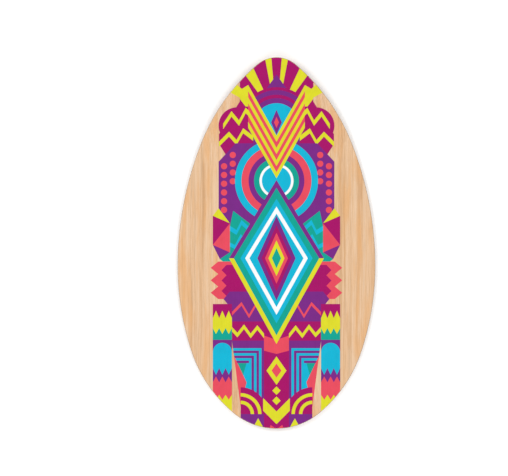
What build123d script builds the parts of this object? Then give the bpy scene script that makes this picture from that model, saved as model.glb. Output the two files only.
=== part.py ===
from build123d import *
import math
import os

os.makedirs("parts", exist_ok=True)

# A wooden skimboard, in millimetres. +Y points to the nose, +X to the rider's right,
# +Z up through the deck. The origin lies under the middle of the plan outline, at the
# height of the flat running surface.

# Driving dimensions
LENGTH = 890.0
WIDTH = 475.0
THICKNESS = 9.5
WIDEST_Y = -55.0  # the widest station lies behind the middle
NOSE_RUN = 300.0  # length of the upturned nose
NOSE_RISE = 22.0
TAIL_RUN = 155.0
TAIL_RISE = 6.0
RIM_RADIUS = 3.0  # roundover on both edges of the rim

# Plan outline: radii of three tangent arcs, from the widest station to each tip
NOSE_ARCS = (800.0, 470.0, 71.0)
TAIL_ARCS = (647.0, 322.0, 162.0)

# Lay-up, bottom to top
FACE_VENEER = 0.9
GLUE_LINE = 0.1
CORE_NAMES = ("lower_crossband", "lower_core_veneer", "centre_crossband",
              "upper_core_veneer", "upper_crossband")
GLUE_COUNT = len(CORE_NAMES) + 1
CORE_VENEER = (THICKNESS - 2 * FACE_VENEER - GLUE_COUNT * GLUE_LINE) / len(CORE_NAMES)

# Screen print
INK_FILM = 0.2
PRINT_INSET = 1.0  # bare rim left outside the print
BLEED = 460.0  # motifs run this far from the middle, past the rim that trims them
CHEVRON_SIDE, CHEVRON_TIP = 68.0, 379.2  # where the uppermost chevron's arm ends
COLUMN_INNER, COLUMN_OUTER = 107.0, 153.0  # sides of the colour columns at the tail
BODY_TOP, BODY_WAIST_Y = -234.0, -394.0  # the tapered body between the columns
TAIL_WAIST = 86.0  # half width of that body at its waist and behind it
INKS = ("magenta", "purple", "cyan", "teal", "coral", "yellow", "white")

# Worked out from the driving dimensions
FRONT_Y = LENGTH / 2 - NOSE_RUN  # where the flat bottom turns up to the nose
BACK_Y = TAIL_RUN - LENGTH / 2
STOCK_MARGIN = 15.0  # raw material left round the board before it is cut out
STOCK_HEIGHT = NOSE_RISE + THICKNESS + 2 * STOCK_MARGIN
SPARE = 1.0  # a cutting slice runs this far past the faces of the board


def bend_radius(run, rise):
    """Radius of an arc, tangent to the flat, that climbs by rise along run."""
    return (run ** 2 + rise ** 2) / (2 * rise)


NOSE_BEND = bend_radius(NOSE_RUN, NOSE_RISE)
TAIL_BEND = bend_radius(TAIL_RUN, TAIL_RISE)
NOSE_SWEEP = math.degrees(math.asin((NOSE_RUN + STOCK_MARGIN) / NOSE_BEND))
TAIL_SWEEP = math.degrees(math.asin((TAIL_RUN + STOCK_MARGIN) / TAIL_BEND))


def layer(low, high):
    """The pressed sheet between two heights above the running surface."""
    with BuildPart() as sheet:
        with BuildSketch(Plane.YZ):
            with BuildLine():
                nose_low = CenterArc((FRONT_Y, NOSE_BEND), NOSE_BEND - low, -90, NOSE_SWEEP)
                nose_high = CenterArc((FRONT_Y, NOSE_BEND), NOSE_BEND - high, -90, NOSE_SWEEP)
                tail_low = CenterArc((BACK_Y, TAIL_BEND), TAIL_BEND - low, -90, -TAIL_SWEEP)
                tail_high = CenterArc((BACK_Y, TAIL_BEND), TAIL_BEND - high, -90, -TAIL_SWEEP)
                Line(nose_low @ 0, tail_low @ 0)
                Line(nose_high @ 0, tail_high @ 0)
                Line(nose_low @ 1, nose_high @ 1)
                Line(tail_low @ 1, tail_high @ 1)
            make_face()
        extrude(amount=WIDTH / 2 + STOCK_MARGIN, both=True)
    return sheet.part


def arc_sweeps(radii, span):
    """Angles turned by three tangent arcs that run from the widest station, heading
    along the board, to the centre line, heading across it, span further on."""
    flank, shoulder, tip = radii
    # The arcs' centres are joined by two links that close on the tip arc's centre
    first, second = flank - shoulder, shoulder - tip
    reach_x, reach_y = flank - WIDTH / 2, span - tip
    reach = math.hypot(reach_x, reach_y)
    lean = math.acos((first ** 2 + reach ** 2 - second ** 2) / (2 * first * reach))
    knee = math.acos((first ** 2 + second ** 2 - reach ** 2) / (2 * first * second))
    turn = math.degrees(math.atan2(reach_y, reach_x) - lean)
    bend = 180 - math.degrees(knee)
    return turn, bend, 90 - turn - bend


def outline(inset=0.0):
    """The egg-shaped plan, pulled in by inset all round."""
    beam = (WIDTH / 2 - inset, WIDEST_Y)
    with BuildSketch() as plan:
        with BuildLine():
            for way, radii in ((1, NOSE_ARCS), (-1, TAIL_ARCS)):
                point, heading = beam, (0, way)
                for radius, sweep in zip(radii, arc_sweeps(radii, LENGTH / 2 - way * WIDEST_Y)):
                    arc = JernArc(point, heading, radius - inset, way * sweep)
                    point, heading = arc @ 1, arc % 1
            mirror(about=Plane.YZ)
        make_face()
    return plan.sketch


# The whole pressed and shaped blank, from which each ply is a slice
with BuildPart() as blank:
    add(layer(0, THICKNESS))
    with BuildSketch(Plane.XY.offset(-STOCK_MARGIN)):
        add(outline())
    extrude(amount=STOCK_HEIGHT, mode=Mode.INTERSECT)
    # Folds across the deck lie along X and seams of the wall along Z: the rest is rim
    rim = blank.edges().filter_by(Axis.X, reverse=True).filter_by(Axis.Z, reverse=True)
    fillet(rim, radius=RIM_RADIUS)

# Plies and glue lines, each a slice of the blank. The two face veneers are cut with
# spare height beyond the blank, because they end in its own surfaces.
lay_up = ("bottom_face_veneer", *CORE_NAMES, "top_face_veneer")
height = 0.0
for number, name in enumerate(lay_up, start=1):
    thickness = CORE_VENEER if name in CORE_NAMES else FACE_VENEER
    low = height - SPARE if number == 1 else height
    high = height + thickness + (SPARE if number == len(lay_up) else 0)
    with BuildPart() as ply:
        add(blank.part)
        add(layer(low, high), mode=Mode.INTERSECT)
    ply.part.label = name
    export_step(ply.part, f"parts/{name}.step")
    height += thickness
    if number <= GLUE_COUNT:
        with BuildPart() as glue:
            add(blank.part)
            add(layer(height, height + GLUE_LINE), mode=Mode.INTERSECT)
        glue.part.label = f"glue_line_{number}"
        export_step(glue.part, f"parts/{glue.part.label}.step")
        height += GLUE_LINE


# Screen print on the deck: a symmetrical geometric pattern, drawn for the right-hand
# half. Motifs are laid down in printing order, and each one covers what lies under it.
motifs = []


def panel(ink, *corners):
    """A straight-sided area."""
    with BuildSketch() as area:
        with BuildLine():
            Polyline(*corners, close=True)
        make_face()
    motifs.append((ink, area.sketch))


def disc(ink, centre, radius, start=0, end=360):
    """A round area, or its sector between two angles measured from +X."""
    with BuildSketch() as area:
        with BuildLine():
            rim = CenterArc(centre, radius, start, end - start)
            if end - start < 360:
                Polyline(rim @ 1, centre, rim @ 0)
        make_face()
    motifs.append((ink, area.sketch))


def zigzag(ink, depth, *turns):
    """A line with corners, widened along Y by its depth."""
    raised = [(x, y + depth) for x, y in reversed(turns)]
    panel(ink, *turns, *raised)


def nest(centre, corners, *layers):
    """The same outline drawn smaller and smaller; each layer is an ink and a scale."""
    cx, cy = centre
    for ink, scale in layers:
        panel(ink, *[(cx + scale * (x - cx), cy + scale * (y - cy)) for x, y in corners])


def nose_cap():
    """Rays over a pointed arch that holds ripples and a lozenge."""
    panel("magenta", (0, BLEED), (106, BLEED), (106, 400), (88, 384), (88, 300), (0, 300))
    for start, end in ((79, 85), (54, 65), (29, 40)):
        disc("yellow", (0, 300), 170, start, end)
    panel("purple", (0, 404), (72, 304), (72, 240), (0, 240))
    disc("magenta", (0, 282), 92, 0, 90)
    disc("purple", (0, 282), 85, 0, 90)
    disc("magenta", (0, 282), 74, 0, 90)
    disc("purple", (0, 282), 66, 0, 90)
    disc("cyan", (0, 282), 54, -90, 90)
    nest((0, 290), ((0, 320), (13, 290), (0, 260)), ("purple", 1), ("coral", 0.45))


def shoulders():
    """Rounded lobes that carry two lightning lines."""
    disc("magenta", (95, 282), 44)
    panel("magenta", (56, 340), (88, 340), (138, 262), (138, 238), (120, 210), (56, 210))
    panel("yellow", (60, 360), (CHEVRON_SIDE, CHEVRON_TIP), (86, 368), (88, 346), (74, 328),
          (60, 328))
    zigzag("yellow", 13, (56, 296), (74, 312), (90, 282), (108, 304), (128, 274))
    zigzag("yellow", 12, (56, 246), (80, 264), (96, 236), (114, 256), (138, 232))


def flanks():
    """Tapered side fields with rows of dots along the edge."""
    panel("purple", (40, 240), (98, 240), (139, 196), (139, 66), (108, -20), (40, -20))
    for row in range(6):
        disc("coral", (126, 185 - 21 * row), 7.5)
    for row in range(4):
        disc("coral", (105, 212 - 21 * row), 7.5)


def ripples():
    """Rings around the point of the chevrons."""
    rings = (("cyan", 100), ("coral", 84), ("purple", 67), ("teal", 54), ("white", 41), ("cyan", 35))
    for ink, radius in rings:
        disc(ink, (0, 150), radius, -90, 90)


def side_facets():
    """Facets beside the lozenge, like the sides of a cut stone."""
    panel("teal", (60, 44), (104, 78), (122, -8), (136, -38), (96, -70), (60, -40))
    zigzag("cyan", 12, (60, 22), (84, 44), (96, 20), (112, 30))
    zigzag("cyan", 10, (60, -12), (86, 12), (100, -14), (116, -6))
    panel("yellow", (139, 84), (153, 66), (112, 48))
    panel("magenta", (153, 66), (153, -4), (112, 48))
    panel("coral", (112, 48), (153, -4), (112, -22))
    panel("purple", (112, -22), (153, -4), (136, -38))


def wings():
    """Saw-toothed blocks at the widest part of the print."""
    sawtooth("coral", 140, 158, -44, 30)
    sawtooth("magenta", 120, 132, -52, 25)
    panel("purple", (20, -116), (112, -116), (127, -134), (COLUMN_INNER, -160),
          (COLUMN_INNER, -192), (20, -192))


def sawtooth(ink, root, tip, top, pitch):
    """A block whose outer side is three teeth."""
    teeth = []
    for tooth in range(3):
        teeth.append((root, top - pitch * tooth))
        teeth.append((tip, top - pitch * (tooth + 0.5)))
    bottom = top - 3 * pitch
    panel(ink, (60, top), *teeth, (root, bottom), (60, bottom))


def lower_panels():
    """Zigzags between the lozenge and the tail body."""
    zigzag("coral", 9, (24, -176), (48, -150), (66, -180), (84, -150),
           (COLUMN_INNER, -174))
    panel("magenta", (0, -188), (COLUMN_INNER, -188), (COLUMN_INNER, BODY_TOP), (0, BODY_TOP))
    zigzag("yellow", 11, (30, -228), (46, -208), (62, -228), (78, -206), (94, -226),
           (COLUMN_INNER, -212))


def lozenge():
    """The large nested lozenge in the middle."""
    centre = (0, -36)
    nest(centre, ((0, 152), (114, -36), (0, -36)), ("purple", 1))
    nest(centre, ((0, -36), (114, -36), (0, -242)), ("yellow", 1))
    nest(centre, ((0, 152), (114, -36), (0, -242)), ("teal", 0.9), ("cyan", 0.76), ("white", 0.66),
         ("cyan", 0.57))
    nest(centre, ((0, 66), (46, -36), (0, -138)), ("purple", 1), ("magenta", 0.78), ("coral", 0.6),
         ("yellow", 0.42), ("teal", 0.24))


def chevrons():
    """Seven stripes that run from the shoulders to a point on the centre line."""
    stripe, climb = 14.6, 121
    for number in range(7):
        ink = "coral" if number % 2 else "yellow"
        side = CHEVRON_TIP - stripe * (7 - number)
        zigzag(ink, stripe, (0, side - climb), (CHEVRON_SIDE, side))


def tail_body():
    """Tapered body with corner stripes, facets and arcs."""
    def side(y):
        """Half width of the body, which narrows from the columns to its waist."""
        share = (y - BODY_WAIST_Y) / (BODY_TOP - BODY_WAIST_Y)
        return TAIL_WAIST + (COLUMN_INNER - TAIL_WAIST) * share

    bottom = ((TAIL_WAIST, BODY_WAIST_Y), (TAIL_WAIST, -BLEED))
    panel("purple", (0, BODY_TOP), (COLUMN_INNER, BODY_TOP), *bottom, (0, -BLEED))
    for number in range(7):
        ink = "cyan" if number % 2 else "purple"
        left, top = 30 + 6 * number, -246 - 6 * number
        panel(ink, (left, top), (side(top), top), *bottom, (left, -BLEED))
    panel("cyan", (66, -288), (side(-288), -288), (66, -372))
    panel("teal", (72, -288), (side(-288), -288), (84, -330))
    panel("coral", (side(-270), -270), (TAIL_WAIST, BODY_WAIST_Y), (72, -334))
    disc("magenta", (TAIL_WAIST, -410), 64, 90, 270)
    disc("yellow", (TAIL_WAIST, -410), 50, 90, 180)
    disc("magenta", (TAIL_WAIST, -410), 42, 90, 180)
    disc("yellow", (TAIL_WAIST, -410), 32, 90, 180)
    disc("magenta", (TAIL_WAIST, -410), 24, 90, 180)
    panel("purple", (22, -410), (TAIL_WAIST, -410), (TAIL_WAIST, -BLEED), (22, -BLEED))


def pillar():
    """Lozenges and a chevron along the centre line of the tail."""
    panel("magenta", (0, -222), (30, BODY_TOP), (30, -BLEED), (0, -BLEED))
    panel("coral", (0, -232), (30, -222), (30, -258), (0, -266))
    nest((0, -306), ((0, -272), (24, -306), (0, -340)), ("yellow", 1), ("coral", 0.5))
    nest((0, -354), ((0, -344), (10, -354), (0, -364)), ("yellow", 1))
    nest((0, -378), ((0, -368), (10, -378), (0, -388)), ("yellow", 1))
    zigzag("yellow", 30, (0, -434), (32, -402))
    panel("yellow", (22, -BLEED), (66, -BLEED), (44, -420))
    panel("coral", (0, -446), (14, -436), (22, -BLEED), (0, -BLEED))


def side_columns():
    """Columns of colour at the tail, with notched joints between the inks."""
    column("magenta", -146)
    column("yellow", -180, 3, 18)
    column("teal", -204, 3, -14)
    column("purple", -232)
    column("cyan", -262)
    disc("cyan", (130, -262), 23, 0, 180)
    column("purple", -300, 3, -16)
    column("coral", -334, 3, 14)
    column("yellow", -364, 3, -12)


def column(ink, top, notches=0, rise=0):
    """Fills a side column down to the rim; its top edge has notches that rise."""
    pitch = (COLUMN_OUTER - COLUMN_INNER) / max(notches, 1)
    edge = [(COLUMN_INNER, top)]
    for notch in range(notches):
        edge.append((COLUMN_INNER + pitch * (notch + 0.5), top + rise))
        edge.append((COLUMN_INNER + pitch * (notch + 1), top))
    if not notches:
        edge.append((COLUMN_OUTER, top))
    panel(ink, *edge, (COLUMN_OUTER, -BLEED), (COLUMN_INNER, -BLEED))


for draw in (nose_cap, shoulders, flanks, ripples, side_facets, wings, lower_panels, tail_body,
             pillar, side_columns, lozenge, chevrons):
    draw()

# Room for ink: the print's own outline between the deck and the same deck raised
with BuildPart() as film:
    with Locations((0, 0, INK_FILM)):
        add(blank.part)
    with BuildSketch(Plane.XY.offset(-STOCK_MARGIN)):
        add(outline(PRINT_INSET))
    extrude(amount=STOCK_HEIGHT, mode=Mode.INTERSECT)
    add(blank.part, mode=Mode.SUBTRACT)

for ink in INKS:
    with BuildSketch() as right_half:
        for colour, motif in motifs:
            if colour == ink:
                add(motif)
            elif right_half.faces():
                add(motif, mode=Mode.SUBTRACT)
    with BuildPart() as coat:
        with BuildSketch():
            add(right_half.sketch)
            mirror(about=Plane.YZ)
        extrude(amount=STOCK_HEIGHT)
        add(film.part, mode=Mode.INTERSECT)
    coat.part.label = f"{ink}_ink"
    export_step(coat.part, f"parts/{ink}_ink.step")
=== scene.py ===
import math

import bmesh
import bpy
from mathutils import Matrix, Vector
from mathutils.bvhtree import BVHTree
from mathutils.geometry import delaunay_2d_cdt


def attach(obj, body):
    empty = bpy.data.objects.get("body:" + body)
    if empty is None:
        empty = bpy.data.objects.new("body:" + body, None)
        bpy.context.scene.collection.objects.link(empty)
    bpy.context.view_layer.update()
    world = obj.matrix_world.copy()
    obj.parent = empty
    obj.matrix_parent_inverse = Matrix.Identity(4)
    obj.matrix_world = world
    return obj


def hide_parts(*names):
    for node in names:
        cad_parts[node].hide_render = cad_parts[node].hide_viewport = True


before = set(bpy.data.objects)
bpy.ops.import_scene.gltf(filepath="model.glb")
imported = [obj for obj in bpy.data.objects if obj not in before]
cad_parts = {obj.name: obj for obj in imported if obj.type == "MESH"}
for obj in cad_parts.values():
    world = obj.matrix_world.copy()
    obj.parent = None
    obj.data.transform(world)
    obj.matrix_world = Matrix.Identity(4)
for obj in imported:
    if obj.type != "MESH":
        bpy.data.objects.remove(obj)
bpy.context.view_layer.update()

# The board, in metres, as the CAD has it: +Y to the nose, +Z up through the deck
MM = 0.001
LENGTH, WIDTH, THICKNESS = 890 * MM, 475 * MM, 9.5 * MM
WIDEST_Y = -55 * MM
NOSE_ARCS = (800 * MM, 470 * MM, 71 * MM)
TAIL_ARCS = (647 * MM, 322 * MM, 162 * MM)
NOSE_RUN, NOSE_RISE = 300 * MM, 22 * MM
TAIL_RUN, TAIL_RISE = 155 * MM, 6 * MM
RIM_RADIUS = 3 * MM
FACE_VENEER = 0.9 * MM
GLUE_LINE = 0.1 * MM
LAY_UP = (("bottom_face_veneer", "base_veneer"), ("lower_crossband", "cross_veneer"),
          ("lower_core_veneer", "core_veneer"), ("centre_crossband", "cross_veneer"),
          ("upper_core_veneer", "core_veneer"), ("upper_crossband", "cross_veneer"),
          ("top_face_veneer", "deck_veneer"))  # node and material slot, from the base up

# How finely the meshes follow it
RIM_STEP = 5 * MM  # along the rim
BEND_STEP = 10 * MM  # along the board, where nose and tail bend up
ROUND_STEPS = 6  # over one roundover
SUPPORT = 0.4 * MM  # flat margin that keeps the roundover's shading off the deck
INK_HEIGHT = 0.12 * MM  # of an ink film over the deck
INK_SINK = 0.05 * MM  # of its underside into the deck, so that no gap shows
SHARP_ANGLE = math.radians(35)  # edges that turn by more are shaded as creases
SEAM_ANGLE = 1e-6  # radians of overlap where two of the outline's arcs meet
FACES_UP = 0.3  # z of a normal from which a face counts as an ink film's top
MERGE_DISTANCE = 1e-3  # millimetres, for the points of the print's flat mesh

STUDIO_LIGHT = 1.2  # light that falls on the deck; at 1, white paint is just full white

FRONT_Y = LENGTH / 2 - NOSE_RUN
BACK_Y = TAIL_RUN - LENGTH / 2


# ---------------------------------------------------------------- shape of the board

def bend_radius(run, rise):
    """Radius of an arc, tangent to the flat, that climbs by rise along run."""
    return (run ** 2 + rise ** 2) / (2 * rise)


def surface(y, height):
    """Z of the pressed sheet's face at that height above the base."""
    if y > FRONT_Y:
        along, radius = y - FRONT_Y, bend_radius(NOSE_RUN, NOSE_RISE)
    elif y < BACK_Y:
        along, radius = BACK_Y - y, bend_radius(TAIL_RUN, TAIL_RISE)
    else:
        return height
    return radius - math.sqrt((radius - height) ** 2 - along ** 2)


def arc_chain(radii, way):
    """Centre, radius and end angles of the three tangent arcs from the widest station to
    one tip, which is the nose if way is 1 and the tail if it is -1."""
    flank, shoulder, tip = radii
    first, second = flank - shoulder, shoulder - tip
    reach_x = flank - WIDTH / 2
    reach_y = LENGTH / 2 - way * WIDEST_Y - tip
    reach = math.hypot(reach_x, reach_y)
    lean = math.acos((first ** 2 + reach ** 2 - second ** 2) / (2 * first * reach))
    knee = math.acos((first ** 2 + second ** 2 - reach ** 2) / (2 * first * second))
    turn = math.atan2(reach_y, reach_x) - lean
    joints = (0, turn, turn + math.pi - knee, math.pi / 2)
    x, y = WIDTH / 2 - flank, WIDEST_Y
    chain = []
    for number, radius in enumerate(radii):
        start, end = joints[number], joints[number + 1]
        chain.append((x, y, radius, way * start, way * end))
        if number < 2:
            link = radius - radii[number + 1]
            x += link * math.cos(end)
            y += link * math.sin(end) * way
    return chain


ARCS = arc_chain(NOSE_ARCS, 1)[::-1] + arc_chain(TAIL_ARCS, -1)


def right_side(inset):
    """Plan points from the nose tip to the tail tip, pulled in by inset."""
    points = []
    for x, y, radius, start, end in ARCS:
        if y + radius * math.sin(start) < y + radius * math.sin(end):
            start, end = end, start
        count = math.ceil(radius * abs(end - start) / RIM_STEP)
        for step in range(count):
            angle = start + (end - start) * step / count
            points.append((x + (radius - inset) * math.cos(angle),
                           y + (radius - inset) * math.sin(angle)))
    points[0] = (0, points[0][1])
    points.append((0, inset - LENGTH / 2))
    return points


def inset_at(x, y):
    """How far a plan point lies inside the outline."""
    for centre_x, centre_y, radius, start, end in ARCS:
        angle = math.atan2(y - centre_y, abs(x) - centre_x)
        if min(start, end) - SEAM_ANGLE <= angle <= max(start, end) + SEAM_ANGLE:
            return radius - math.hypot(abs(x) - centre_x, y - centre_y)
    return RIM_RADIUS


def round_inset(height):
    """How far the roundover pulls the rim in at that height above the base."""
    depth = RIM_RADIUS - max(min(height, THICKNESS - height), 0)
    if depth <= 0:
        return 0
    return RIM_RADIUS - math.sqrt(RIM_RADIUS ** 2 - depth ** 2)


def round_drop(inset):
    """How far the roundover lies below the deck at that inset."""
    if inset >= RIM_RADIUS:
        return 0
    return RIM_RADIUS - math.sqrt(RIM_RADIUS ** 2 - (RIM_RADIUS - inset) ** 2)


# ---------------------------------------------------------------- meshes

def new_piece(name, vertices, faces, node, slot, material):
    """A closed mesh that rides on the board and stands for a CAD node."""
    mesh = bpy.data.meshes.new(name)
    mesh.from_pydata(vertices, [], faces)
    shaped = bmesh.new()
    shaped.from_mesh(mesh)
    bmesh.ops.recalc_face_normals(shaped, faces=shaped.faces)
    shaped.to_mesh(mesh)
    shaped.free()
    mesh.shade_smooth()
    mesh.set_sharp_from_angle(angle=SHARP_ANGLE)
    mesh.materials.append(material)
    piece = bpy.data.objects.new(name, mesh)
    bpy.context.scene.collection.objects.link(piece)
    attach(piece, "root")
    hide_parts(node)
    return piece


def loop(height, inset):
    """A closed loop round the board: down the right side and back up the left."""
    right = [(x, y, surface(y, height)) for x, y in right_side(inset)]
    return right + [(-x, y, z) for x, y, z in right[-2:0:-1]]


def cap(start, count):
    """Faces across a loop, in strips from its right side to its left."""
    faces = []
    for k in range(count // 2):
        corners = [k, k + 1, count - k - 1, (count - k) % count]
        unique = list(dict.fromkeys(corners))
        faces.append([start + corner for corner in unique])
    return faces


def plate(low, high):
    """Vertices and faces of one layer of the lay-up, shaped by the rim's roundover."""
    rims = [low, high]
    for edge, way in ((0, 1), (THICKNESS, -1)):
        for step in range(1, ROUND_STEPS + 1):
            turn = math.pi / 2 * step / ROUND_STEPS
            level = edge + way * RIM_RADIUS * (1 - math.cos(turn))
            if low < level < high:
                rims.append(level)
    loops = [(level, round_inset(level)) for level in sorted(rims)]
    if low == 0:
        loops.insert(0, (0, RIM_RADIUS + SUPPORT))
    if math.isclose(high, THICKNESS):
        loops.append((THICKNESS, RIM_RADIUS + SUPPORT))
    vertices, faces = [], []
    for level, inset in loops:
        vertices += loop(level, inset)
    count = len(vertices) // len(loops)
    for below in range(len(loops) - 1):
        base = below * count
        for k in range(count):
            following = (k + 1) % count
            faces.append([base + k, base + following, base + count + following,
                          base + count + k])
    faces += cap(0, count) + cap(len(vertices) - count, count)
    return vertices, faces


def ink_outlines():
    """The outlines of the CAD ink films seen from above, in millimetres, as points and
    edges, with a tree and list that tell which ink lies at a place."""
    points, edges, places, flat_faces, owners = [], [], {}, [], []
    for ink_name in INK_SHADES:
        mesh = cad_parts[f"{ink_name}_ink"].data
        sides = set()
        for polygon in mesh.polygons:
            if polygon.normal.z < FACES_UP:
                continue
            face = []
            for corner in polygon.vertices:
                x, y, _ = mesh.vertices[corner].co / MM
                key = (round(x, 3), round(y, 3))
                if key not in places:
                    places[key] = len(points)
                    points.append(Vector(key))
                face.append(places[key])
            for side in zip(face, face[1:] + face[:1]):
                if side[::-1] in sides:
                    sides.remove(side[::-1])
                elif side[0] != side[1]:
                    sides.add(side)
            flat_faces.append(face)
            owners.append(ink_name)
        edges.extend(sorted(sides))
    tree = BVHTree.FromPolygons([(x, y, 0) for x, y in points], flat_faces)
    return points, edges, tree, owners


def print_mesh():
    """The whole print as one flat mesh, cut so that it can follow the deck: across the
    board where nose and tail bend, and along the roundover. Gives its points, and the
    triangles of each ink."""
    points, edges, tree, owners = ink_outlines()

    def cut(chain, closed=False):
        first = len(points)
        points.extend(Vector((x / MM, y / MM)) for x, y in chain)
        edges.extend((k, k + 1) for k in range(first, len(points) - 1))
        if closed:
            edges.append((len(points) - 1, first))

    for start, end in ((FRONT_Y, LENGTH / 2), (BACK_Y, -LENGTH / 2)):
        count = round(abs(end - start) / BEND_STEP)
        for step in range(count):
            y = start + (end - start) * step / count
            cut([(-WIDTH / 2, y), (WIDTH / 2, y)])
    for step in range(1, ROUND_STEPS):
        turn = math.pi / 2 * step / (ROUND_STEPS - 1)
        right = right_side(RIM_RADIUS * (1 - math.cos(turn)))
        cut(right + [(-x, y) for x, y in right[-2:0:-1]], closed=True)

    flat, _, triangles, _, _, _ = delaunay_2d_cdt(points, edges, [], 0, MERGE_DISTANCE)
    of_ink = {ink_name: [] for ink_name in INK_SHADES}
    for triangle in triangles:
        centre = sum((flat[corner] for corner in triangle), Vector((0, 0))) / 3
        hit = tree.ray_cast(Vector((*centre, 1)), Vector((0, 0, -1)))[2]
        if hit is not None:
            of_ink[owners[hit]].append(triangle)
    return flat, of_ink


def film(flat, triangles):
    """Vertices and faces of an ink film on the deck, from flat triangles."""
    used = sorted({corner for triangle in triangles for corner in triangle})
    index = {corner: k for k, corner in enumerate(used)}
    top, bottom = [], []
    for corner in used:
        x, y = flat[corner].x * MM, flat[corner].y * MM
        z = surface(y, THICKNESS) - round_drop(inset_at(x, y))
        top.append((x, y, z + INK_HEIGHT))
        bottom.append((x, y, z - INK_SINK))
    faces, sides = [], {}  # sides is an ordered set of the film's open edges
    for triangle in triangles:
        a, b, c = (index[corner] for corner in triangle)
        faces.append([a, b, c])
        faces.append([len(used) + c, len(used) + b, len(used) + a])
        for edge in ((a, b), (b, c), (c, a)):
            if edge[::-1] in sides:
                del sides[edge[::-1]]
            else:
                sides[edge] = True
    faces += [[b, a, len(used) + a, len(used) + b] for a, b in sides]
    return top + bottom, faces


# ---------------------------------------------------------------- materials

def colour(red, green, blue):
    """The paint that looks this bright, 0 to 255, on the deck under the studio lights."""
    def linear(value):
        value /= 255
        seen = value / 12.92 if value <= 0.04045 else ((value + 0.055) / 1.055) ** 2.4
        return seen / STUDIO_LIGHT
    return (linear(red), linear(green), linear(blue), 1)


SAPWOOD = (colour(240, 204, 168), colour(232, 190, 148), colour(214, 168, 124),
           colour(236, 178, 118))  # pale, middle and dark grain, and warm patches
CROSS_GRAIN = (colour(216, 172, 128), colour(200, 154, 110), colour(168, 122, 82),
               colour(192, 138, 88))
INK_SHADES = {
    "magenta": colour(169, 0, 103), "purple": colour(123, 37, 135), "cyan": colour(3, 184, 217),
    "teal": colour(0, 166, 148), "coral": colour(235, 76, 95), "yellow": colour(225, 222, 39),
    "white": colour(255, 255, 255),
}


class Shader:
    """A material under construction, with short calls for its nodes."""

    def __init__(self, name):
        self.material = bpy.data.materials.new(name)
        self.material.use_nodes = True
        self.tree = self.material.node_tree
        self.surface = self.tree.nodes["Principled BSDF"]
        coordinates = self.add("ShaderNodeTexCoord")
        self.place = coordinates.outputs["Object"]
        self.normal = coordinates.outputs["Normal"]

    def add(self, kind, **settings):
        node = self.tree.nodes.new(kind)
        for key, value in settings.items():
            setattr(node, key, value)
        return node

    def link(self, source, target):
        self.tree.links.new(source, target)

    def drive(self, socket, source):
        self.link(source, self.surface.inputs[socket])

    def set(self, **values):
        for key, value in values.items():
            self.surface.inputs[key.replace("_", " ")].default_value = value

    def noise(self, size, seed, detail=2.0, rough=0.5):
        """Noise whose blots are about size metres long on each axis."""
        mapping = self.add("ShaderNodeMapping")
        mapping.inputs["Scale"].default_value = [1 / length for length in size]
        mapping.inputs["Location"].default_value = (seed, seed * 1.7, seed * 0.6)
        self.link(self.place, mapping.inputs["Vector"])
        texture = self.add("ShaderNodeTexNoise")
        texture.inputs["Scale"].default_value = 1
        texture.inputs["Detail"].default_value = detail
        texture.inputs["Roughness"].default_value = rough
        self.link(mapping.outputs["Vector"], texture.inputs["Vector"])
        return texture.outputs["Fac"]

    def ramp(self, value, *stops):
        """Colours, or grey values, along a 0 to 1 value."""
        node = self.add("ShaderNodeValToRGB")
        elements = node.color_ramp.elements
        while len(elements) < len(stops):
            elements.new(0.5)
        for element, (position, shade) in zip(elements, stops):
            element.position = position
            element.color = shade if isinstance(shade, tuple) else (shade, shade, shade, 1)
        self.link(value, node.inputs["Fac"])
        return node.outputs["Color"]

    def mix(self, share, first, second, blend="MIX"):
        """Mixes two colours by a share. Each may be a value or an output."""
        node = self.add("ShaderNodeMix", data_type="RGBA", blend_type=blend)
        for socket, value in (("Factor", share), ("A", first), ("B", second)):
            target = next(i for i in node.inputs if i.name == socket and i.enabled)
            if isinstance(value, (int, float, tuple)):
                target.default_value = value
            else:
                self.link(value, target)
        return next(output for output in node.outputs if output.enabled)

    def wander(self, size, reach, seed):
        """Moves every texture that follows by up to reach, so that its lines waver."""
        node = self.add("ShaderNodeVectorMath", operation="MULTIPLY_ADD")
        self.link(self.noise(size, seed), node.inputs[0])
        node.inputs[1].default_value = reach
        self.link(self.place, node.inputs[2])
        self.place = node.outputs[0]

    def slope(self):
        """0 where the surface lies flat, 1 where it stands upright at the rim."""
        split = self.add("ShaderNodeSeparateXYZ")
        self.link(self.normal, split.inputs[0])
        upright = self.add("ShaderNodeMath", operation="ABSOLUTE")
        self.link(split.outputs["Z"], upright.inputs[0])
        return self.ramp(upright.outputs[0], (0.55, 1.0), (0.97, 0.0))

    def bump(self, height, distance):
        node = self.add("ShaderNodeBump")
        node.inputs["Distance"].default_value = distance
        self.link(height, node.inputs["Height"])
        self.drive("Normal", node.outputs["Normal"])

    def varnish(self):
        """A thin clear coat, brushed on, so not quite level."""
        ripple = self.add("ShaderNodeBump")
        ripple.inputs["Distance"].default_value = 0.02 * MM
        self.link(self.noise((0.012, 0.03, 0.012), 71), ripple.inputs["Height"])
        self.drive("Coat Normal", ripple.outputs["Normal"])
        self.set(Coat_Weight=0.4, Coat_Roughness=0.08, Coat_IOR=1.4, Specular_IOR_Level=0.06)


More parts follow.
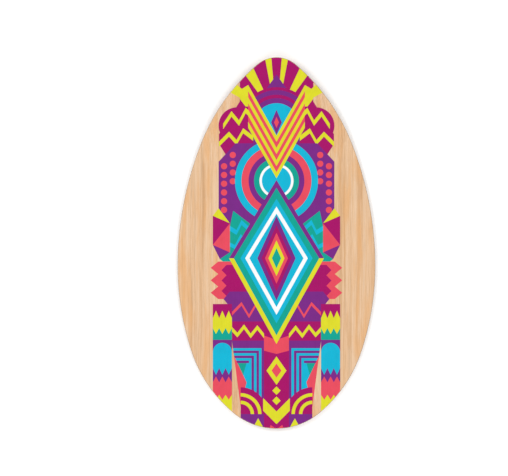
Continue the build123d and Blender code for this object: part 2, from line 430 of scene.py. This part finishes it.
def veneer(name, pale, mid, dark, warm, seed, turned=False, worn=0.0):
    """Varnished wood. Its grain runs along the board, or across it if turned."""
    def grain(along, across):
        return (along, across, across) if turned else (across, along, across)

    shader = Shader(name)
    reach = (0, 0.012, 0) if turned else (0.012, 0, 0)
    shader.wander(grain(0.28, 0.06), reach, seed)

    broad = shader.noise(grain(1.6, 0.045), seed + 1)
    bands = shader.noise(grain(1.1, 0.011), seed + 2)
    lines = shader.noise(grain(0.36, 0.0026), seed + 3, 4, 0.65)
    flecks = shader.noise(grain(0.040, 0.0018), seed + 8, 3, 0.6)
    fibres = shader.noise(grain(0.045, 0.0006), seed + 4)
    pores = shader.noise(grain(0.009, 0.0004), seed + 5, 1)
    patches = shader.noise(grain(0.18, 0.020), seed + 6, 3)
    rings = shader.noise(grain(0.9, 0.016), seed + 9)

    figure = shader.mix(0.44, shader.mix(0.6, broad, bands), lines)
    figure = shader.mix(0.15, figure, flecks)
    wood = shader.ramp(figure, (0.40, dark), (0.475, mid), (0.555, pale))
    wood = shader.mix(shader.ramp(patches, (0.49, 0.0), (0.64, 0.6)), wood, warm)
    ring_lines = shader.ramp(rings, (0.47, 1.0), (0.50, 0.82), (0.53, 1.0))
    wood = shader.mix(0.6, wood, ring_lines, "MULTIPLY")
    wood = shader.mix(0.5, wood, shader.ramp(fibres, (0.28, 0.68), (0.62, 1.0)), "MULTIPLY")
    wood = shader.mix(0.5, wood, shader.ramp(pores, (0.26, 0.62), (0.35, 1.0)), "MULTIPLY")
    if worn:
        scuffs = shader.noise((0.0011, 0.22, 0.0011), seed + 7)
        wood = shader.mix(shader.ramp(scuffs, (0.64, 0.0), (0.72, worn)), wood, pale)
    # Painted shade: the wood turns darker and greyer where the roundover tilts away from the deck,
    # broken up by the grain's bands
    rim = shader.mix(0.6, shader.slope(), shader.ramp(bands, (0.3, 0.3), (0.7, 1.0)), "MULTIPLY")
    wood = shader.mix(rim, wood, shader.mix(0.3, dark, (0.35, 0.33, 0.24, 1)))

    shader.drive("Base Color", wood)
    shader.drive("Roughness", shader.ramp(fibres, (0.2, 0.40), (0.8, 0.56)))
    shader.bump(shader.mix(0.5, fibres, pores), 0.03 * MM)
    shader.varnish()
    return shader.material


def ink(name, shade):
    """Screen ink under varnish, with the veneer's grain showing through faintly."""
    shader = Shader(name)
    mottle = shader.noise((0.014, 0.020, 0.014), 5, 3)
    fibres = shader.noise((0.0009, 0.05, 0.0009), 9)
    deep = tuple(channel * 0.84 for channel in shade[:3]) + (1,)
    body = shader.mix(shader.ramp(mottle, (0.35, 0.0), (0.75, 0.5)), shade, deep)
    body = shader.mix(0.3, body, shader.ramp(fibres, (0.3, 0.78), (0.6, 1.0)), "MULTIPLY")
    # On the roundover the ink is painted darker, a painted shade, and chips of bare wood show
    # where it is worn through
    chips = shader.ramp(shader.noise((0.009, 0.009, 0.009), 31, 3), (0.56, 0.0), (0.60, 0.7))
    body = shader.mix(shader.slope(), body, shader.mix(chips, deep, SAPWOOD[1]))
    shader.drive("Base Color", body)
    shader.drive("Roughness", shader.ramp(mottle, (0.3, 0.34), (0.7, 0.46)))
    shader.bump(fibres, 0.02 * MM)
    shader.varnish()
    return shader.material


def glue():
    """Cured glue, seen only as thin dark lines at the rim, with lighter smears."""
    shader = Shader("glue")
    blots = shader.noise((0.0025, 0.0025, 0.0025), 2)
    shader.drive("Base Color", shader.ramp(blots, (0.3, colour(92, 62, 42)),
                                           (0.7, colour(134, 96, 68))))
    shader.drive("Roughness", shader.ramp(blots, (0.3, 0.35), (0.7, 0.5)))
    shader.bump(blots, 0.02 * MM)
    return shader.material


# ---------------------------------------------------------------- the object

def build_lay_up():
    """Seven veneers with a glue line between each two, from the base up."""
    woods = {
        "base_veneer": veneer("base_veneer", *SAPWOOD, seed=23.1, worn=0.5),
        "cross_veneer": veneer("cross_veneer", *CROSS_GRAIN, seed=57.3, turned=True),
        "core_veneer": veneer("core_veneer", *SAPWOOD, seed=41.9),
        "deck_veneer": veneer("deck_veneer", *SAPWOOD, seed=6.4),
    }
    glue_film = glue()
    count = len(LAY_UP)
    core_veneer = (THICKNESS - 2 * FACE_VENEER - (count - 1) * GLUE_LINE) / (count - 2)
    height = 0.0
    for number, (node, slot) in enumerate(LAY_UP, start=1):
        top = height + (FACE_VENEER if "face" in node else core_veneer)
        new_piece(f"{node}_piece", *plate(height, top), node, slot, woods[slot])
        height = top
        if number < count:
            node = f"glue_line_{number}"
            new_piece(f"{node}_piece", *plate(height, height + GLUE_LINE), node, "glue", glue_film)
            height += GLUE_LINE


def build_print():
    """The seven inks, each a film that follows the deck and its roundover."""
    flat, of_ink = print_mesh()
    for name, shade in INK_SHADES.items():
        node = slot = f"{name}_ink"
        new_piece(f"{name}_print", *film(flat, of_ink[name]), node, slot, ink(slot, shade))


# ---------------------------------------------------------------- studio

VIEW_WIDTH = 1.2205  # width of the view at the deck
VIEW_SHIFT = (-0.054, 0.0126)  # the board stands a little right of and below the middle
LENS, SENSOR = 135.0, 36.0
VIEW_LIMIT = 50  # farthest distance that the camera sees
SKY = 0.7
SOFT_BOXES = ((-2.4, 1.2, 42), (2.4, 1.2, 31), (-1.8, -2.4, 25), (1.8, -2.4, 25))  # x, y, watts
SOFT_BOX_HEIGHT, SOFT_BOX_SIZE = 2.4, 1.8
FLOOR_HALF = 9.0
FLOOR_DROP = 0.5 * MM  # keeps the floor clear of the base


def build_camera():
    """Straight above the deck, nose up, from far enough to look nearly parallel."""
    data = bpy.data.cameras.new("camera")
    data.lens, data.sensor_width = LENS, SENSOR
    data.clip_end = VIEW_LIMIT
    camera = bpy.data.objects.new("camera", data)
    camera.location = (*VIEW_SHIFT, THICKNESS + VIEW_WIDTH * LENS / SENSOR)
    bpy.context.scene.collection.objects.link(camera)
    bpy.context.scene.camera = camera


def build_floor():
    """A plain white floor under the board."""
    shader = Shader("floor")
    tone = shader.noise((3, 3, 3), 0, 2)
    shader.drive("Base Color", shader.ramp(tone, (0.3, 0.955), (0.7, 0.965)))
    shader.set(Roughness=0.9, Specular_IOR_Level=0.1)
    half = FLOOR_HALF
    mesh = bpy.data.meshes.new("floor")
    mesh.from_pydata([(-half, -half, 0), (half, -half, 0), (half, half, 0), (-half, half, 0)],
                     [], [(0, 1, 2, 3)])
    mesh.materials.append(shader.material)
    floor = bpy.data.objects.new("floor", mesh)
    floor.location.z = -FLOOR_DROP
    bpy.context.scene.collection.objects.link(floor)


def build_lights():
    """Four large soft boxes round the board, and an even sky."""
    world = bpy.data.worlds.new("studio")
    world.use_nodes = True
    world.node_tree.nodes["Background"].inputs["Color"].default_value = (1, 1, 1, 1)
    world.node_tree.nodes["Background"].inputs["Strength"].default_value = SKY
    bpy.context.scene.world = world
    for number, (x, y, power) in enumerate(SOFT_BOXES):
        data = bpy.data.lights.new(f"soft_box_{number}", "AREA")
        data.shape, data.size, data.energy = "DISK", SOFT_BOX_SIZE, power
        light = bpy.data.objects.new(f"soft_box_{number}", data)
        light.location = (x, y, SOFT_BOX_HEIGHT)
        inward = -light.location
        light.rotation_euler = inward.to_track_quat("-Z", "Y").to_euler()
        bpy.context.scene.collection.objects.link(light)
    bpy.context.scene.view_settings.view_transform = "Standard"


build_camera()
build_lay_up()
build_print()
build_floor()
build_lights()
